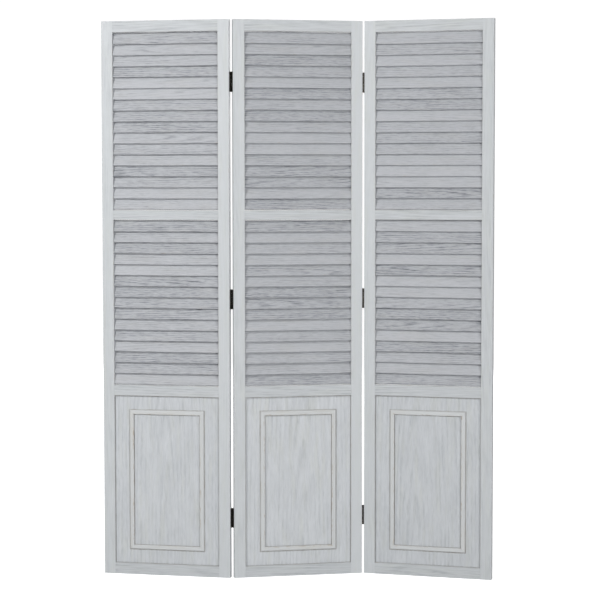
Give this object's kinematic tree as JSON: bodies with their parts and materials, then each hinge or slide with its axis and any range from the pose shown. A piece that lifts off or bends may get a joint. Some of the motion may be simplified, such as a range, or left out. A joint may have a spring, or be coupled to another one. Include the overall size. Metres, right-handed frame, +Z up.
{
  "type": "folding room divider screen",
  "caption": "Free-standing folding room divider: framed louvre panels over flat boards with a planted moulding, joined by butt hinges and set in a zigzag.",
  "frame": {"origin": "on the floor, at the middle of the footprint's bounding box in the stored zigzag", "axes": "+X to the right along the screen, seen from its front; +Y away from the front; +Z up"},
  "size_m": [1.193, 0.1346, 1.7],
  "materials": {
    "whitewashed_frame": "whitewashed, matt, grain along each piece",
    "whitewashed_slats": "whitewashed, matt, greyer, grain along the slat",
    "whitewashed_board": "whitewashed, matt, upright cathedral grain",
    "whitewashed_moulding": "whitewashed, matt, rubbed through at the edges",
    "dowel_beech": "bare",
    "hinge_steel": "dark bronze, satin",
    "screw_steel": "dark bronze, satin"
  },
  "bodies": {
    "centre_panel": {"centre_panel_back_moulding": "whitewashed_moulding", "centre_panel_board": "whitewashed_board", "centre_panel_bottom_rail": "whitewashed_frame", "centre_panel_dowels": "dowel_beech", "centre_panel_front_moulding": "whitewashed_moulding", "centre_panel_left_stile": "whitewashed_frame", "centre_panel_lower_mid_rail": "whitewashed_frame", "centre_panel_lower_slats": "whitewashed_slats", "centre_panel_right_stile": "whitewashed_frame", "centre_panel_top_rail": "whitewashed_frame", "centre_panel_upper_mid_rail": "whitewashed_frame", "centre_panel_upper_slats": "whitewashed_slats", "left_hinge_bottom_centre_leaf": "hinge_steel", "left_hinge_bottom_pin": "hinge_steel", "left_hinge_centre_screws": "screw_steel", "left_hinge_middle_centre_leaf": "hinge_steel", "left_hinge_middle_pin": "hinge_steel", "left_hinge_top_centre_leaf": "hinge_steel", "left_hinge_top_pin": "hinge_steel", "right_hinge_bottom_centre_leaf": "hinge_steel", "right_hinge_bottom_pin": "hinge_steel", "right_hinge_centre_screws": "screw_steel", "right_hinge_middle_centre_leaf": "hinge_steel", "right_hinge_middle_pin": "hinge_steel", "right_hinge_top_centre_leaf": "hinge_steel", "right_hinge_top_pin": "hinge_steel"},
    "left_panel": {"left_hinge_bottom_side_leaf": "hinge_steel", "left_hinge_middle_side_leaf": "hinge_steel", "left_hinge_side_screws": "screw_steel", "left_hinge_top_side_leaf": "hinge_steel", "left_panel_back_moulding": "whitewashed_moulding", "left_panel_board": "whitewashed_board", "left_panel_bottom_rail": "whitewashed_frame", "left_panel_dowels": "dowel_beech", "left_panel_front_moulding": "whitewashed_moulding", "left_panel_left_stile": "whitewashed_frame", "left_panel_lower_mid_rail": "whitewashed_frame", "left_panel_lower_slats": "whitewashed_slats", "left_panel_right_stile": "whitewashed_frame", "left_panel_top_rail": "whitewashed_frame", "left_panel_upper_mid_rail": "whitewashed_frame", "left_panel_upper_slats": "whitewashed_slats"},
    "right_panel": {"right_hinge_bottom_side_leaf": "hinge_steel", "right_hinge_middle_side_leaf": "hinge_steel", "right_hinge_side_screws": "screw_steel", "right_hinge_top_side_leaf": "hinge_steel", "right_panel_back_moulding": "whitewashed_moulding", "right_panel_board": "whitewashed_board", "right_panel_bottom_rail": "whitewashed_frame", "right_panel_dowels": "dowel_beech", "right_panel_front_moulding": "whitewashed_moulding", "right_panel_left_stile": "whitewashed_frame", "right_panel_lower_mid_rail": "whitewashed_frame", "right_panel_lower_slats": "whitewashed_slats", "right_panel_right_stile": "whitewashed_frame", "right_panel_top_rail": "whitewashed_frame", "right_panel_upper_mid_rail": "whitewashed_frame", "right_panel_upper_slats": "whitewashed_slats"}
  },
  "joints": [
    {"name": "left_fold", "type": "hinge", "parent": "centre_panel", "child": "left_panel", "pos_m": [-0.19806, -0.01225, 0], "axis": [0, 0, -1], "range_deg": [-31.5, 157.5]},
    {"name": "right_fold", "type": "hinge", "parent": "centre_panel", "child": "right_panel", "pos_m": [0.20389, 0.04224, 0], "axis": [0, 0, -1], "range_deg": [-35.9, 153.1]}
  ]
}
